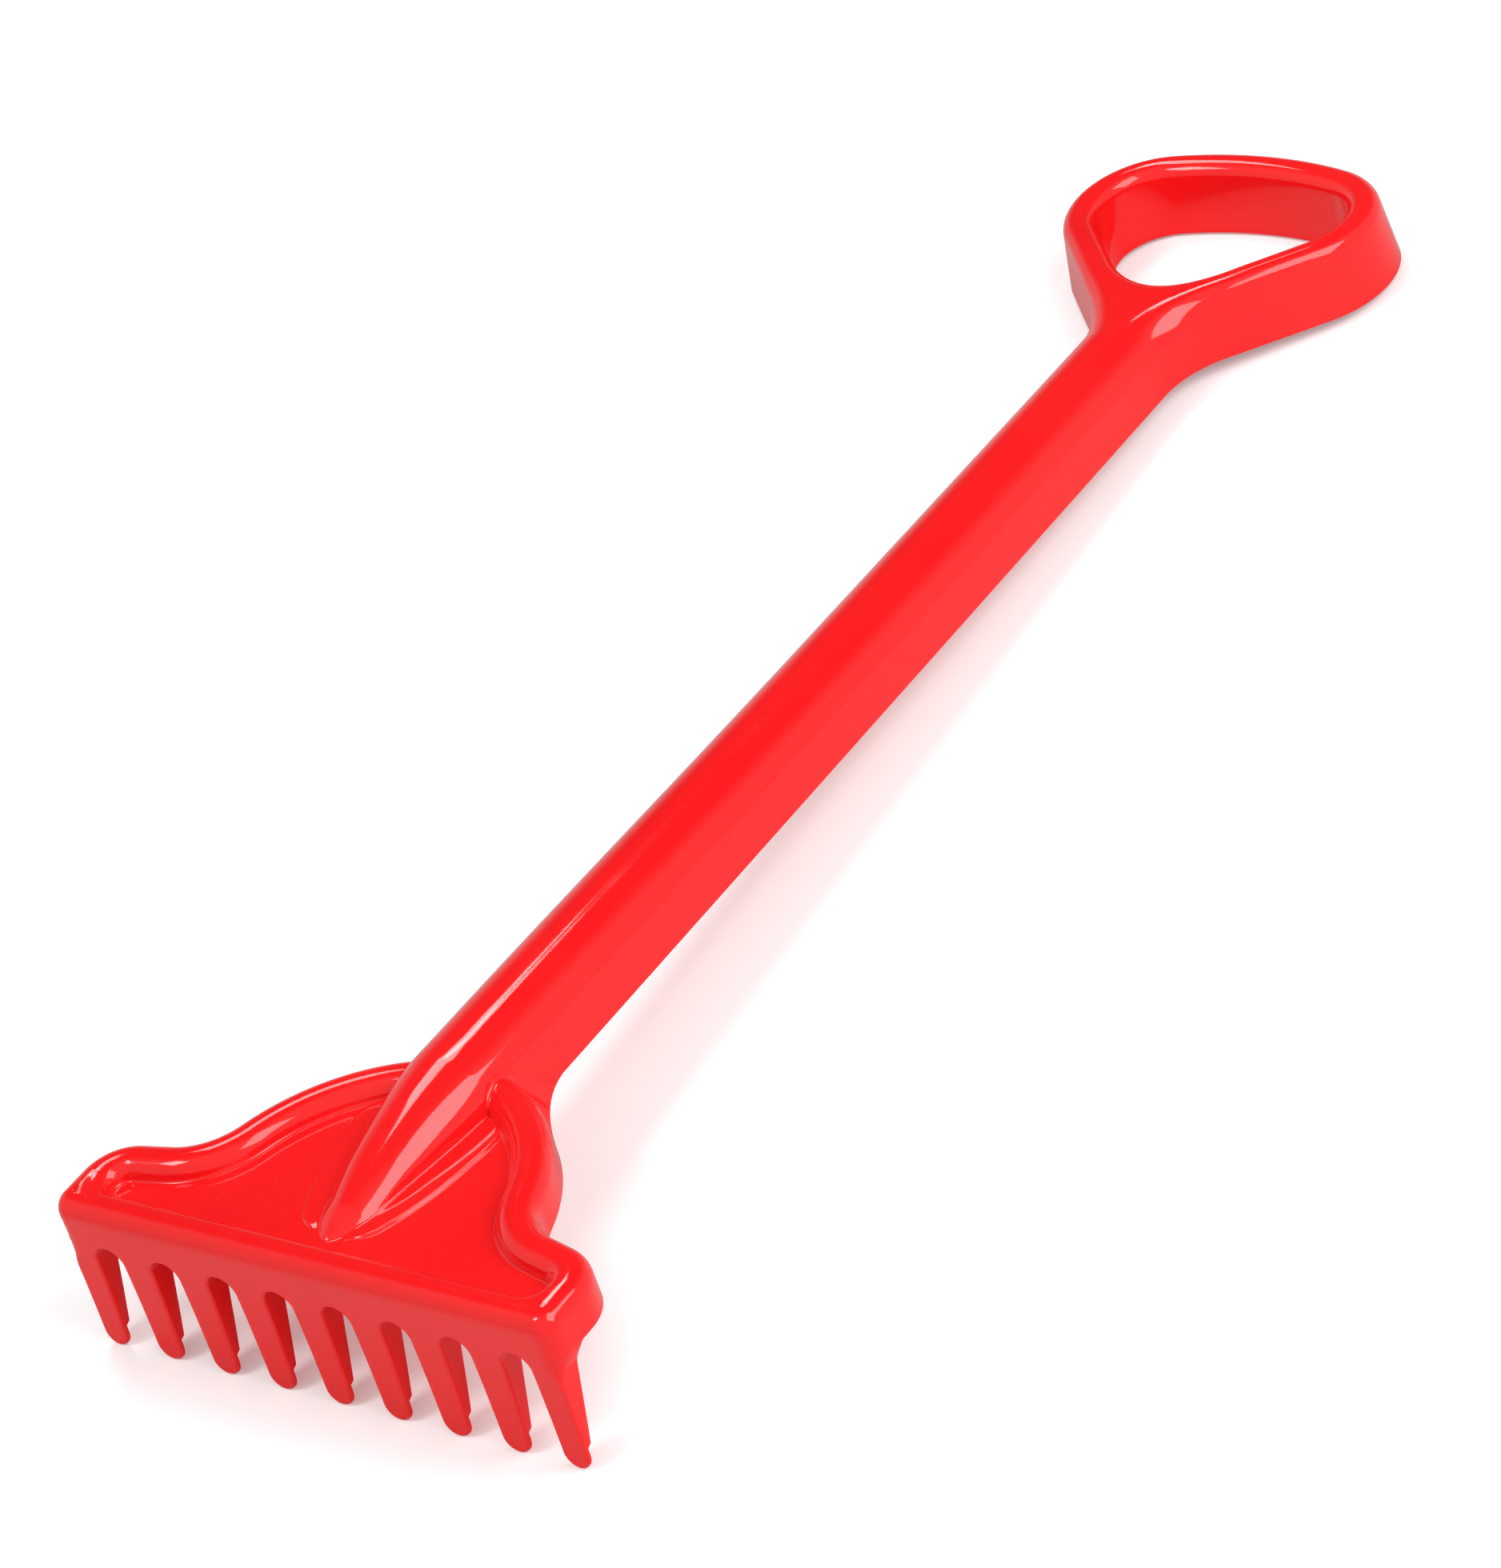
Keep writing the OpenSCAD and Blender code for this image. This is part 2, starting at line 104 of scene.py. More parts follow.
def make_piece(name, grids, sharp=SHARP):
    """One mesh from several grids of level points; a grid is (points, turned)."""
    points, faces, start = [], [], 0
    for grid, turned in grids:
        rows, columns = grid.shape[:2]
        points.append(lay_down(grid).reshape(-1, 3))
        faces.append(grid_faces(rows, columns, start, turned))
        start += rows * columns
    points, faces = np.concatenate(points), np.concatenate(faces)
    mesh = bpy.data.meshes.new(name)
    mesh.vertices.add(len(points))
    mesh.vertices.foreach_set("co", points.ravel())
    mesh.loops.add(faces.size)
    mesh.loops.foreach_set("vertex_index", faces.ravel())
    mesh.polygons.add(len(faces))
    mesh.polygons.foreach_set("loop_start", np.arange(0, faces.size, 4))
    mesh.update(calc_edges=True)
    b = bmesh.new()
    b.from_mesh(mesh)
    bmesh.ops.remove_doubles(b, verts=b.verts, dist=MERGE_DIST)
    bmesh.ops.dissolve_degenerate(b, edges=b.edges, dist=SLIVER)
    b.to_mesh(mesh)
    b.free()
    mesh.shade_smooth()
    mesh.set_sharp_from_angle(angle=np.radians(sharp))
    piece = bpy.data.objects.new(name, mesh)
    bpy.context.scene.collection.objects.link(piece)
    print(name, len(mesh.vertices), "points,", len(mesh.polygons), "faces")
    return piece


# %% Small helpers for shapes
def smooth(t):
    """An even S from 0 to 1: three times the square less twice the cube."""
    t = np.clip(t, 0, 1)
    return t * t * (3 - 2 * t)


def unit(degrees):
    """Directions in the plan for angles in degrees."""
    a = np.radians(degrees)
    return np.stack([np.cos(a), np.sin(a)], -1)


def solid(grid_xy, z):
    """Plan points with their heights as points in space."""
    z = np.broadcast_to(z, grid_xy.shape[:-1])
    return np.concatenate([grid_xy, z[..., None]], -1)


def arc_radius(width, depth):
    """Radius of an arc that is level at 0 and down by depth at width: both squared, over twice the depth."""
    return (width**2 + depth**2) / (2 * depth)


print("halfway up the S:", smooth(0.5))

# %% [markdown]
# ## The shaft's section
# Cut across, the shaft is an arch on two side walls that lean out a little, so
# that the moulding leaves its mould. A squashed cylinder would miss the crease
# between the two. So the arch is part of a circle through the creases, and the
# walls are straight lines. The shaft narrows slightly towards the grip, and it
# is a little deeper near the head, where it carries the most.

# %% Shaft section
CREASE_H = 10.7  # height of the crease between side wall and arch
SHAFT_H = 19.4  # height of the shaft's top
NOSE_END = 66.0  # where the nose on the head ends and the shaft starts
SHAFT_END = 380.0  # where the shaft ends and the neck of the grip starts
WIDE_HALF = 13.3  # half width of the shaft at the nose
NARROWER = 1.1  # how much less it is at the neck
DEEPER = 1.4  # how much higher the shaft is before the head
DEEPER_END = 85.0  # up to here it is that much higher
DEEPER_RUN = 150.0  # length over which that is lost again
ARCH_STEPS = 16
SIDE_STEPS = 8


def shaft_half(x):
    """Half width at the crease, narrowing evenly along the shaft."""
    return WIDE_HALF - NARROWER * (x - NOSE_END) / (SHAFT_END - NOSE_END)


def crest(x):
    """Height of the shaft's top: even, and a little more on the last stretch before the head."""
    return SHAFT_H + DEEPER * (1 - smooth((x - DEEPER_END) / DEEPER_RUN))


def arch(half, rise):
    """Points from the top of an arch out to its crease, at even angles; columns give one row each."""
    r = arc_radius(half, rise)
    a = np.linspace(0, 1, ARCH_STEPS + 1) * np.arcsin(half / r)
    return r * np.sin(a), rise - r + r * np.cos(a)


def shaft_side(x, z):
    """How far out the shaft's side is at height z: the leaning wall or the arch."""
    half, rise = shaft_half(x), crest(x) - CREASE_H
    r = arc_radius(half, rise)
    up = np.clip(z - CREASE_H, 0, rise)
    return np.where(z < CREASE_H, half + (CREASE_H - z) * LEAN, np.sqrt(r**2 - (r - rise + up) ** 2))


print("shaft at the crease, mm:", round(2 * shaft_half(NOSE_END), 2), "to", 2 * shaft_half(SHAFT_END))

# %% [markdown]
# ## The closed grip and its neck
# Seen from above, the grip is a ring round the hand hole, and the shaft widens
# into it like a fork. A bent tube joined to a cylinder would leave a hard seam
# in the fork. So one grid follows the ring: one direction runs round the hand
# hole, the other goes from the hole's edge outwards. On the bars it ends at the
# outer edge. In the neck it fans out to the two flanks and to the end of the
# shaft. The height is that of the crest, less one rounding that grows towards
# the outer edge and one that grows towards the hole. Both roundings are arcs,
# given by their width and their depth.

# %% Grip in the plan: the edge of the hand hole
BAR_W = 9.34  # width of the bars
FAR_X = 355.9  # centre of the far bar's arc, on the tool's axis
FAR_R = 104.33  # radius of the hand hole's edge along the far bar
FAR_A = 14.5  # degrees at which the far bar ends and a corner starts
CORNER_R = 16.73  # radius of the hand hole in its corners
FORK_A = 133.5  # degrees at which a corner ends and a straight side starts
HOLE_R = 27.03  # radius of the hand hole's near end
FAR_STEPS = 12
CORNER_STEPS = 48
STRAIGHT_STEPS = 10
FLANK_STEPS = 18
BRANCH_STEPS = 6
FAN_STEPS = ARCH_STEPS + FLANK_STEPS + BRANCH_STEPS

# arcs and straights run on into each other without a bend, which places the centres
corner_c = np.array([FAR_X, 0]) + (FAR_R - CORNER_R) * unit(FAR_A)
hole_x = (corner_c @ unit(FORK_A) + CORNER_R - HOLE_R) / unit(FORK_A)[0]

near_a = np.linspace(180, FORK_A, FAN_STEPS + 1)
near = np.array([hole_x, 0]) + HOLE_R * unit(near_a)
corner_a = np.linspace(FORK_A, FAR_A, CORNER_STEPS + 1)
corner = corner_c + CORNER_R * unit(corner_a)
far_a = np.linspace(FAR_A, 0, FAR_STEPS + 1)
far = np.array([FAR_X, 0]) + FAR_R * unit(far_a)
straight = np.linspace(near[-1], corner[0], STRAIGHT_STEPS + 1)[1:-1]
hole_edge = np.concatenate([near, straight, corner, far[1:]])
hole_a = np.concatenate([near_a, np.full(len(straight), FORK_A), corner_a, far_a[1:]])
hole_size = (far[-1, 0] - near[0, 0], 2 * hole_edge[:, 1].max())
print("hand hole, mm:", np.round(hole_size, 1))

# %% Grip in the plan: the outer edge
bar_edge = hole_edge + BAR_W * unit(hole_a)
fork_point = bar_edge[FAN_STEPS]
end_half = shaft_half(SHAFT_END)

# the flank's arc touches the shaft's side where the shaft ends, and then the straight side of the fork
bend_a = np.radians(FORK_A - 90)
to_crossing = fork_point[0] - (fork_point[1] - end_half) / np.tan(bend_a) - SHAFT_END
flank_r = to_crossing / np.tan(bend_a / 2)
flank_c = np.array([SHAFT_END, end_half + flank_r])
flank_a = np.linspace(90, FORK_A, FLANK_STEPS + 1)
flank = flank_c - flank_r * unit(flank_a)
branch = np.linspace(flank[-1], fork_point, BRANCH_STEPS + 1)
end_line = np.stack([np.full(ARCH_STEPS + 1, SHAFT_END), arch(end_half, SHAFT_H - CREASE_H)[0]], -1)
outer_edge = np.concatenate([end_line, flank[1:], branch[1:], bar_edge[FAN_STEPS + 1:]])
outer_a = np.concatenate([np.full(ARCH_STEPS + 1, 90.0), flank_a[1:], np.full(BRANCH_STEPS, FORK_A),
                          hole_a[FAN_STEPS + 1:]])
print("grip columns in one half:", len(outer_edge), "flank radius, mm:", round(float(flank_r), 1))

# %% Grip heights
GRIP_H = 21.2  # height of the bars
BAR_ROUND = 4.17  # depth of a bar's two roundings, each half a bar wide
FORK_RUN = 27.0  # length over which the shaft's arch turns into a bar's rounding
CLIMB_RUN = 36.0  # length over which the crest comes up to the bars
NECK_WIDER = 1.8  # how much wider the round along the hole is in the neck
NECK_DEEPER = 1.2  # and how much deeper


def rounding(d, width, depth):
    """How far a round has dropped at distance d from its edge: an arc as wide and deep as given."""
    r = arc_radius(width, depth)
    return r - np.sqrt(r**2 - np.clip(width - d, 0, width) ** 2)


def edge_distance(xy):
    """Distance from the outer edge: to the flank's arc, or to the straight side beyond it."""
    gap = flank_c - xy
    on_arc = np.hypot(gap[..., 0], gap[..., 1]) - flank_r
    on_line = (fork_point - xy) @ unit(FORK_A)
    angle = np.degrees(np.arctan2(gap[..., 1], gap[..., 0]))
    return np.where(angle < FORK_A, on_arc, on_line)


def grip_top(xy, from_hole, from_edge, column_a):
    """Crest height less the outer and the inner rounding."""
    along = xy[..., 0] - SHAFT_END
    opening = smooth(along / FORK_RUN)
    crown = SHAFT_H + (GRIP_H - SHAFT_H) * smooth(along / CLIMB_RUN)
    width = end_half + (BAR_W / 2 - end_half) * opening
    depth = SHAFT_H - CREASE_H + (BAR_ROUND - SHAFT_H + CREASE_H) * opening
    in_neck = smooth((column_a - FORK_A) / (180 - FORK_A))
    return (crown - rounding(from_edge, width, depth)
            - rounding(from_hole, BAR_W / 2 + NECK_WIDER * in_neck, BAR_ROUND + NECK_DEEPER * in_neck))


print("crown of the bars above that of the shaft, mm:", round(GRIP_H - SHAFT_H, 2))

# %% Grip grid and its skirts
TOP_STEPS = 28
HOLE_DRAFT = 4.5  # degrees that the hand hole's wall leans, so that the mould lets go

across = (1 - np.cos(np.linspace(0, np.pi, TOP_STEPS + 1))) / 2
breadth = np.linalg.norm(outer_edge - hole_edge, axis=1)[:, None]
top_xy = hole_edge[:, None] + (outer_edge - hole_edge)[:, None] * across[None, :, None]
neck_column = np.arange(len(hole_edge))[:, None] <= FAN_STEPS
near_end = np.hypot(top_xy[..., 0] - hole_x, top_xy[..., 1]) - HOLE_R
from_hole = np.where(neck_column, near_end, breadth * across)
from_edge = np.where(neck_column, edge_distance(top_xy), breadth * (1 - across))
top_z = grip_top(top_xy, np.maximum(from_hole, 0), np.maximum(from_edge, 0), hole_a[:, None])
grip_grid = solid(top_xy, top_z)


def skirt(edge_xy, edge_z, outward, lean):
    """Rows that hang from an edge in even steps down to the open underside, and lean out on the way."""
    z = edge_z[:, None] * (1 - np.linspace(0, 1, SIDE_STEPS + 1))
    aside = lean * (edge_z[:, None] - z)
    return solid(edge_xy[:, None] + aside[..., None] * outward[:, None], z)


outer_skirt = skirt(outer_edge, top_z[:, -1], unit(outer_a), LEAN)[ARCH_STEPS:]
inner_skirt = skirt(hole_edge, top_z[:, 0], -unit(hole_a), np.tan(np.radians(HOLE_DRAFT)))
print("crest heights at the axis, mm:", np.round(top_z[0, ::7], 2))

# %% [markdown]
# ## The nose
# On the head, the shaft runs out into a low blunt nose. A shaft cut off by a
# plane would end in a hard oval, and a sculpted one could not be repeated. So
# each half is drawn between its foot on the plate and its ridge, two curves
# through a few sizes. A point of the grid goes from the ridge out to the foot
# while it comes down. At the tip this is nearly a straight slope, then it gets
# fuller, up to a quarter of an ellipse, and at the back it is the shaft's own
# arch. At the front the grid turns round the ridge's front end like a fan.
# Beyond the foot come a small hollow round, a low pad and its rounded step down
# to the plate.

# %% Nose outline and ridge
DECK_H = 7.4  # height of the plate
FOOT_ROWS = 2  # rows of the shaft's side above the low pad
FOOT_H = CREASE_H * (1 - FOOT_ROWS / SIDE_STEPS)  # height of the low pad
NOSE_TIP = 12.8  # where the nose starts on the plate
BLUNT_END = 21.5  # where its foot is no longer drawn in towards the tip
BLUNT_POWER = 1.5  # 2 would be an ellipse, 1 a point
PAD_START = 14.5  # where the low pad starts to rise from the plate
PAD_RAMP = 5.5  # length over which it does
# places along the tool, with the nose's half width on the plate and the height of its ridge there
FOOT_AT = [20, 25.4, 32.2, 39.1, 48.4, 61, NOSE_END, 80]
FOOT_HALF = [6.3, 7.5, 8.75, 10.0, 11.6, 13.3, shaft_side(NOSE_END, FOOT_H), 13.6]
RIDGE_AT = [10, 20, 27, 34, 42, 53, 60, NOSE_END, 80]
RIDGE_H = [9.4, 11.6, 13.3, 15.0, 16.8, 19.0, 20.1, crest(NOSE_END), crest(80)]


def through(x, xs, ys):
    """A smooth curve through a few points: on each span a cubic that meets its neighbours' slopes."""
    xs, ys = np.array(xs, float), np.array(ys, float)
    slope = np.gradient(ys, xs)
    i = np.clip(np.searchsorted(xs, x) - 1, 0, len(xs) - 2)
    h = xs[i + 1] - xs[i]
    t = (np.clip(x, xs[0], xs[-1]) - xs[i]) / h
    return (ys[i] * (1 + 2 * t) * (1 - t) ** 2 + h * slope[i] * t * (1 - t) ** 2
            + ys[i + 1] * t * t * (3 - 2 * t) - h * slope[i + 1] * t * t * (1 - t))


def nose_foot(x):
    """Half width of the nose on the plate, closed at the tip as a slightly pointed round."""
    back = np.clip((BLUNT_END - x) / (BLUNT_END - NOSE_TIP), 0, 1)
    return through(x, FOOT_AT, FOOT_HALF) * (1 - back**BLUNT_POWER) ** (1 / BLUNT_POWER)


def pad_rise(x):
    """Height of the low pad beside the nose above the plate."""
    return (FOOT_H - DECK_H) * smooth((x - PAD_START) / PAD_RAMP)


print("nose half widths, mm:", np.round(nose_foot(np.array([14.5, 20, 30, 45, 60])), 2))

# %% Nose grid
RIDGE_END = 22.0  # front end of the ridge, where the grid turns like a fan
NOSE_FAN = 16
NOSE_STEPS = 36
SLOPE_POWER = 1.3  # section at the tip: 1 would be a straight slope
FULLER = 0.7  # what its power gains, up to the 2 of an ellipse
FULLER_START = 20.0
FULLER_RUN = 16.0
ARCH_START = 34.0  # from here on the section turns into the shaft's own

fan_x = NOSE_TIP + (RIDGE_END - NOSE_TIP) * (1 - np.cos(np.linspace(0, np.pi / 2, NOSE_FAN + 1)))
nose_x = np.concatenate([fan_x, np.linspace(RIDGE_END, NOSE_END, NOSE_STEPS + 1)[1:]])
foot = np.stack([nose_x, nose_foot(nose_x)], -1)
anchor = np.stack([np.maximum(nose_x, RIDGE_END), 0 * nose_x], -1)

# the shaft's own section at the nose's end gives the columns
low_z = CREASE_H * (1 - np.arange(1, FOOT_ROWS + 1) / SIDE_STEPS)
arch_y, arch_z = arch(shaft_half(NOSE_END), crest(NOSE_END) - CREASE_H)
section_y = np.append(arch_y, shaft_side(NOSE_END, low_z))
section_z = np.append(CREASE_H + arch_z, low_z)
height = (section_z - FOOT_H) / (crest(NOSE_END) - FOOT_H)

to_arch = smooth((nose_x - ARCH_START) / (NOSE_END - ARCH_START))[:, None]
power = (SLOPE_POWER + FULLER * smooth((nose_x - FULLER_START) / FULLER_RUN))[:, None]
dome = (1 - np.clip(height, 0, 1) ** power) ** (1 / power)
out = (1 - to_arch) * dome + to_arch * section_y / section_y[-1]
nose_xy = anchor[:, None] + (foot - anchor)[:, None] * out[..., None]
foot_z = (DECK_H + pad_rise(nose_x))[:, None]
nose_z = foot_z + (through(nose_xy[..., 0], RIDGE_AT, RIDGE_H) - foot_z) * height
nose_grid = solid(nose_xy, nose_z)
print("nose grid:", nose_grid.shape[:2])

# %% Hollow round, pad and step beside the nose
# places along the nose's foot, with the width of the low pad there
PAD_AT = [12, 14.5, 16.7, 18.7, 24, 30, 38, 48, 55, 58, 60, 62, NOSE_END, 70]
PAD_W = [0.9, 1.3, 2.6, 4.6, 6.6, 7.9, 8.8, 8.9, 8.7, 7.9, 5.4, 2.4, 1.0, 1.0]
BEND_R = 0.6  # reach of the hollow round, and its largest share of the pad
BEND_SHARE = 0.6
STEP_W = 1.0  # width of the rounded step, and its largest share of the pad
STEP_SHARE = 0.4
PAD_LIFT = 0.012  # the pad's edge ends this little above the plate

along_foot = np.gradient(foot, axis=0)
foot_out = np.stack([-along_foot[:, 1], along_foot[:, 0]], -1) / np.linalg.norm(along_foot, axis=1)[:, None]
foot_out[0] = (-1, 0)
pad_w = through(nose_x, PAD_AT, PAD_W)[:, None]

# the hollow round is a curve that starts down the nose's side and ends along the pad
bend_w = np.minimum(BEND_R, BEND_SHARE * pad_w)
bend_t = np.linspace(0, 1, 6)[None, 1:, None]
above, meeting = nose_grid[:, -2:-1], nose_grid[:, -1:]
beyond = meeting + solid(foot_out * bend_w, 0.0)[:, None]
bend = (1 - bend_t) ** 2 * above + 2 * bend_t * (1 - bend_t) * meeting + bend_t**2 * beyond

# then come three points on the flat pad, the rounded step, and one point on the plate beyond it
step_w = np.minimum(STEP_W, STEP_SHARE * pad_w)
flat_t = np.array([0.15, 0.5, 0.85])
step_t = np.append(np.linspace(0, 1, 8), 1.6)
flat_w = pad_w - step_w
away = np.concatenate([bend_w * (1 - flat_t) + flat_w * flat_t, flat_w + step_w * step_t], 1)
fall = np.append(0 * flat_t, smooth(step_t))
pad_xy = foot[:, None] + foot_out[:, None] * away[..., None]
pad_z = DECK_H + PAD_LIFT + np.maximum((pad_rise(nose_x)[:, None] - PAD_LIFT) * (1 - fall), 0)
nose_grid = np.concatenate([nose_grid[:, :-1], bend, solid(pad_xy, pad_z)], 1)
print("pad width, mm:", round(float(pad_w.min()), 1), "to", round(float(pad_w.max()), 1))

# %% Shaft between nose and neck
SHAFT_STEPS = 40

shaft_x = np.linspace(NOSE_END, SHAFT_END, SHAFT_STEPS + 1)[:, None]
arch_y, arch_z = arch(shaft_half(shaft_x), crest(shaft_x) - CREASE_H)
wall_z = CREASE_H * (1 - np.arange(1, SIDE_STEPS + 1) / SIDE_STEPS)
shaft_y = np.concatenate([arch_y, shaft_half(shaft_x) + LEAN * (CREASE_H - wall_z)], 1)
shaft_z = np.concatenate([CREASE_H + arch_z, np.repeat(wall_z[None, :], len(shaft_x), 0)], 1)
shaft_grid = np.stack([np.repeat(shaft_x, shaft_y.shape[1], 1), shaft_y, shaft_z], -1)
print("shaft grid:", shaft_grid.shape[:2])


# %% One mesh for nose, shaft, neck and grip
def both_sides(grid, turned=False):
    """A grid on the left of the tool and its mirror image on the right."""
    return [(grid, turned), (grid * [1, -1, 1], not turned)]


def softened(before, point, after):
    """A point moved halfway to the middle of its two neighbours."""
    return (before + 2 * point + after) / 4


# the creases of the real moulding are a little round
edge = softened(grip_grid[ARCH_STEPS:, -2], grip_grid[ARCH_STEPS:, -1], outer_skirt[:, 1])
grip_grid[ARCH_STEPS:, -1] = edge
outer_skirt[:, 0] = edge
shaft_grid[:, ARCH_STEPS] = softened(*np.moveaxis(shaft_grid[:, ARCH_STEPS - 1:ARCH_STEPS + 2], 1, 0))
nose_grid[-1, :ARCH_STEPS + 1] = shaft_grid[0, :ARCH_STEPS + 1]
handle = make_piece("handle", both_sides(grip_grid) + both_sides(outer_skirt)
                    + both_sides(inner_skirt, True) + both_sides(shaft_grid) + both_sides(nose_grid))

# %% [markdown]
# ## The rim bead and the front bar
# A half-round bead goes round the head: along the front, round the corners,
# round the ears, through the waist and over the shoulder to the shaft. A curve
# with a bevel would give it one width everywhere. But on the front the bead is
# a little narrower and lower, and at the two corners it has a small flat on
# top. So two rails in the plan lead it, the bead's edge on the plate and its
# outer edge, and the same half round is set between them at every station.

# %% Places on the rim
RIM_R = 5.2  # radius of the bead, which is twice as wide
HEAD_HALF = 77.2  # half width of the head
FRONT_W = 9.4  # width and height of the bead on the front
FRONT_H = 4.8
INNER_R = 3.6  # radius of the plate's front corners
EAR_X = 13.3  # centre of the ear's arc
EAR_R = 8.7
EAR_A = 12  # degrees at which the ear's arc ends
WAIST_RUN = 8.0  # length of the straight between ear and waist
DIP_R = 21.0  # radius of the waist
DIP_TURN = 60  # degrees that it turns
SHOULDER_R = 49.7

# each arc runs on from the last one without a bend, which places the centres
ear_c = np.array([EAR_X, HEAD_HALF - RIM_R - EAR_R])
ear_exit = ear_c + EAR_R * unit(EAR_A)
dip_entry = ear_exit + WAIST_RUN * unit(EAR_A - 90)
dip_c = dip_entry + DIP_R * unit(EAR_A)
dip_a = 180 + EAR_A + DIP_TURN
shoulder_a = dip_a - 180
shoulder_c = dip_c + DIP_R * unit(dip_a) - SHOULDER_R * unit(shoulder_a)
print("shoulder's centre, mm:", np.round(shoulder_c, 2))

# %% Rails of the rim
FRONT_STEPS = 12
BLEND_STEPS = 12  # stations over which the front's bead grows to the full one
FRONT_SHARES = np.linspace(0, 1, FRONT_STEPS + 1)
SIDE_SHARES = [0, 0.28, 0.66, 0.69, 1]
WAIST_SHARES = np.linspace(0, 1, 7)


def arc_run(centre, radius, a0, a1, steps, facing=1):
    """Points and outward directions along an arc about a centre; facing -1 turns them to the centre."""
    a = np.linspace(a0, a1, steps + 1)
    return centre + radius * unit(a), facing * unit(a)


def straight_run(p, q, direction, shares):
    """Points on a straight from p to q at the shares given, all with one outward direction."""
    s = np.asarray(shares, float)[:, None]
    return np.array(p) * (1 - s) + np.array(q) * s, np.repeat(np.array([direction], float), len(s), 0)


def rim_rail(front_x, side_y, corner_r, off):
    """One rail from the middle of the front to the waist's end, at a distance off the bead's middle line."""
    aside = off * unit(EAR_A)
    runs = [straight_run([front_x, 0], [front_x, side_y - corner_r], [-1, 0], FRONT_SHARES),
            arc_run([front_x + corner_r, side_y - corner_r], corner_r, 180, 90, steps=10),
            straight_run([front_x + corner_r, side_y], [EAR_X, side_y], [0, 1], SIDE_SHARES),
            arc_run(ear_c, EAR_R + off, 90, EAR_A, steps=20),
            straight_run(ear_exit + aside, dip_entry + aside, unit(EAR_A), WAIST_SHARES),
            arc_run(dip_c, DIP_R - off, 180 + EAR_A, dip_a, steps=24, facing=-1)]
    kept = [(p[:-1], n[:-1]) for p, n in runs[:-1]] + runs[-1:]
    return [np.concatenate(part) for part in zip(*kept)]


inner_p, inner_n = rim_rail(FRONT_W, HEAD_HALF - 2 * RIM_R, INNER_R, -RIM_R)
outer_p, outer_n = rim_rail(0, HEAD_HALF, RIM_R, RIM_R)
grown = smooth((np.arange(len(inner_p)) - FRONT_STEPS) / BLEND_STEPS)
bead_w = FRONT_W / 2 + (RIM_R - FRONT_W / 2) * grown
bead_h = FRONT_H + (RIM_R - FRONT_H) * grown
print("rim stations before the shoulder:", len(inner_p))

# %% Rim profile and sweep
FLANGE = 1.7  # how far the rim's sheet reaches over the plate
FILLET = 1.0  # radius of the hollow round between plate and bead
SKIRT_ROWS = 7
FACE_CUT = 2.0  # height at which the bead's skirt ends and the front wall takes over
COMB_X = 10.7  # length of the end walls, which take over as well

fillet_x = np.sqrt((RIM_R + FILLET) ** 2 - FILLET**2) - RIM_R
touch_a = np.arctan2(FILLET, RIM_R + fillet_x)
fillet_a = np.linspace(0, np.pi / 2 - touch_a, 6)
rise_a = np.linspace(touch_a, np.pi / 2, 9)[1:]
fall_a = np.linspace(np.pi / 2, 0, 12)
plate_rows = np.append(FLANGE, fillet_x - FILLET * np.sin(fillet_a))
plate_z = np.append(DECK_H, DECK_H + FILLET - FILLET * np.cos(fillet_a))
skirt_share = np.linspace(0, 1, SKIRT_ROWS + 1)[1:]


def rim_section(in_p, in_n, out_p, out_n, w, h, bottom):
    """The profile at each station: rows from the plate over the bead and down the skirt."""
    rows = [in_p[:, None] - in_n[:, None] * plate_rows[None, :, None],
            in_p[:, None] + in_n[:, None] * (w[:, None] * (1 - np.cos(rise_a)))[..., None],
            out_p[:, None] - out_n[:, None] * (w[:, None] * (1 - np.cos(fall_a)))[..., None],
            np.repeat(out_p[:, None], SKIRT_ROWS, 1)]
    z = np.concatenate([np.repeat(plate_z[None, :], len(in_p), 0),
                        DECK_H + h[:, None] * np.sin(np.append(rise_a, fall_a)),
                        DECK_H + (bottom - DECK_H)[:, None] * skirt_share[None, :]], 1)
    return solid(np.concatenate(rows, 1), z)


skirt_end = np.where(outer_p[:, 0] < COMB_X, FACE_CUT, 0.0)
rim_grid = rim_section(inner_p, inner_n, outer_p, outer_n, bead_w, bead_h, skirt_end)
print("rim profile points:", rim_grid.shape[1])

# %% Shoulder of the rim
MEET_X = 64.0  # where along the shaft its side is taken for the shoulder to meet
SINK = 0.2  # how far the rows run into that side
MEET_R = 1.3  # radius of the hollow round where the bead meets the shaft
WEB_R = 15.5  # what the skirt's hollow round gains on the way down
EASE_A = 0.7  # angle over which the round comes in from the plate's rows
TURN_STEPS = 24
MEET_STEPS = 12

# every row is a circle about one centre, up to its own hollow round at the shaft's side
row_r = np.linalg.norm(rim_grid[-1, :, :2] - shoulder_c, axis=1)
row_z = rim_grid[-1, :, 2]
skirt_row = np.arange(len(row_z)) >= len(row_z) - SKIRT_ROWS
meet_y = shaft_side(MEET_X, row_z) - SINK
meet_r = MEET_R + WEB_R * skirt_row * np.clip(1 - row_z / DECK_H, 0, 1)
closing = np.radians(np.linspace(0, 90, MEET_STEPS + 1))[1:, None]
first_a = np.radians(shoulder_a)
meet_a = np.arcsin((meet_y + meet_r - shoulder_c[1]) / row_r)
turn_a = first_a + (meet_a - first_a) * np.linspace(0, 1, TURN_STEPS + 1)[1:, None]
close_a = np.arcsin((meet_y + meet_r * (1 - np.sin(closing)) - shoulder_c[1]) / row_r)
theta = np.concatenate([turn_a, close_a])

